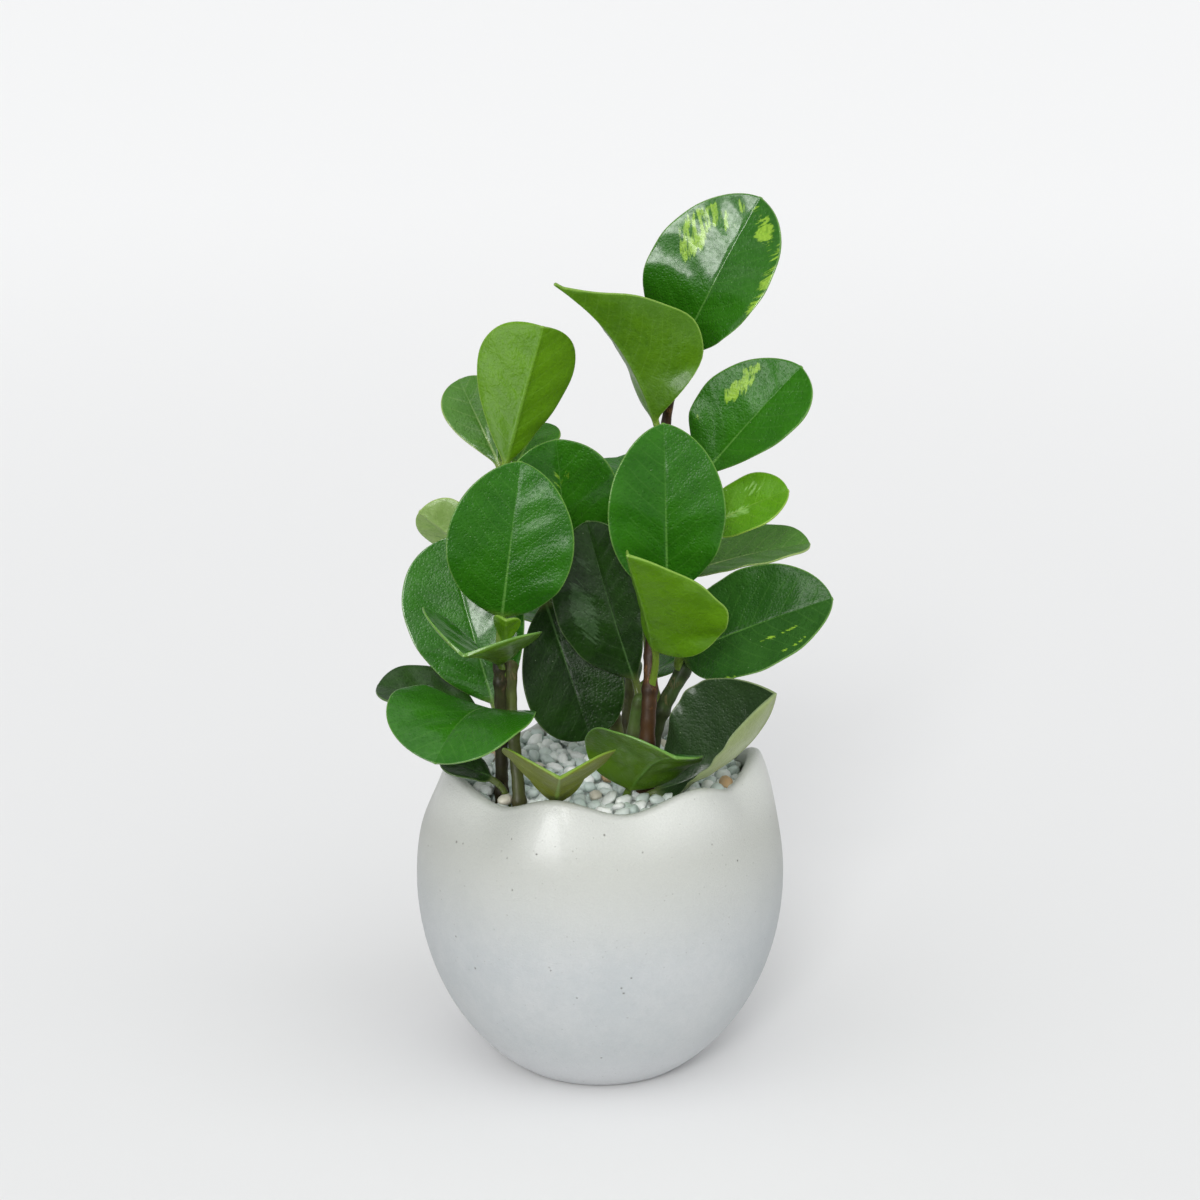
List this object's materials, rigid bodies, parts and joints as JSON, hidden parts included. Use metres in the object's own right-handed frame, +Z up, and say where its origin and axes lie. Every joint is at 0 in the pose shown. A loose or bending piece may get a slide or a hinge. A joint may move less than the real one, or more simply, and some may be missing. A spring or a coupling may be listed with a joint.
{
  "type": "potted peperomia",
  "caption": "Bushy plant with fleshy oval leaves on thick stems, standing in a white egg-shaped ceramic pot with a waved rim, its soil topped with white pebbles.",
  "frame": {"origin": "centre of the pot's flat foot, on the surface that it stands on", "axes": "+Z up along the pot's middle line, -Y towards the front of the plant as pictured, +X to the right of the front view"},
  "size_m": [0.179, 0.1813, 0.3596],
  "materials": {
    "pot": "satin",
    "soil": "matte",
    "pebbles": "satin",
    "stem": "satin",
    "leaf": "satin"
  },
  "bodies": {
    "root": {"leaf_back_short_left": "leaf", "leaf_back_short_low": "leaf", "leaf_back_short_right": "leaf", "leaf_back_short_top": "leaf", "leaf_left_short_back": "leaf", "leaf_left_short_folded": "leaf", "leaf_left_short_front": "leaf", "leaf_left_short_side": "leaf", "leaf_left_short_sprout": "leaf", "leaf_left_tall_back": "leaf", "leaf_left_tall_far": "leaf", "leaf_left_tall_large": "leaf", "leaf_left_tall_pale": "leaf", "leaf_left_tall_rear": "leaf", "leaf_left_tall_top": "leaf", "leaf_middle_short_long": "leaf", "leaf_middle_tall_back": "leaf", "leaf_middle_tall_drooping": "leaf", "leaf_middle_tall_top": "leaf", "leaf_right_short_right": "leaf", "leaf_right_short_upper": "leaf", "leaf_right_tall_back": "leaf", "leaf_right_tall_front": "leaf", "leaf_right_tall_low": "leaf", "leaf_right_tall_right": "leaf", "leaf_right_tall_small": "leaf", "leaf_right_tall_top": "leaf", "leaf_right_tall_upper": "leaf", "leaf_soil_front_folded": "leaf", "leaf_soil_front_wide": "leaf", "leaf_soil_left_low": "leaf", "leaf_soil_right_large": "leaf", "pebbles": "pebbles", "pot": "pot", "soil": "soil", "stem_back_short": "stem", "stem_left_short": "stem", "stem_left_tall": "stem", "stem_middle_short": "stem", "stem_middle_tall": "stem", "stem_right_short": "stem", "stem_right_tall": "stem"}
  },
  "joints": []
}
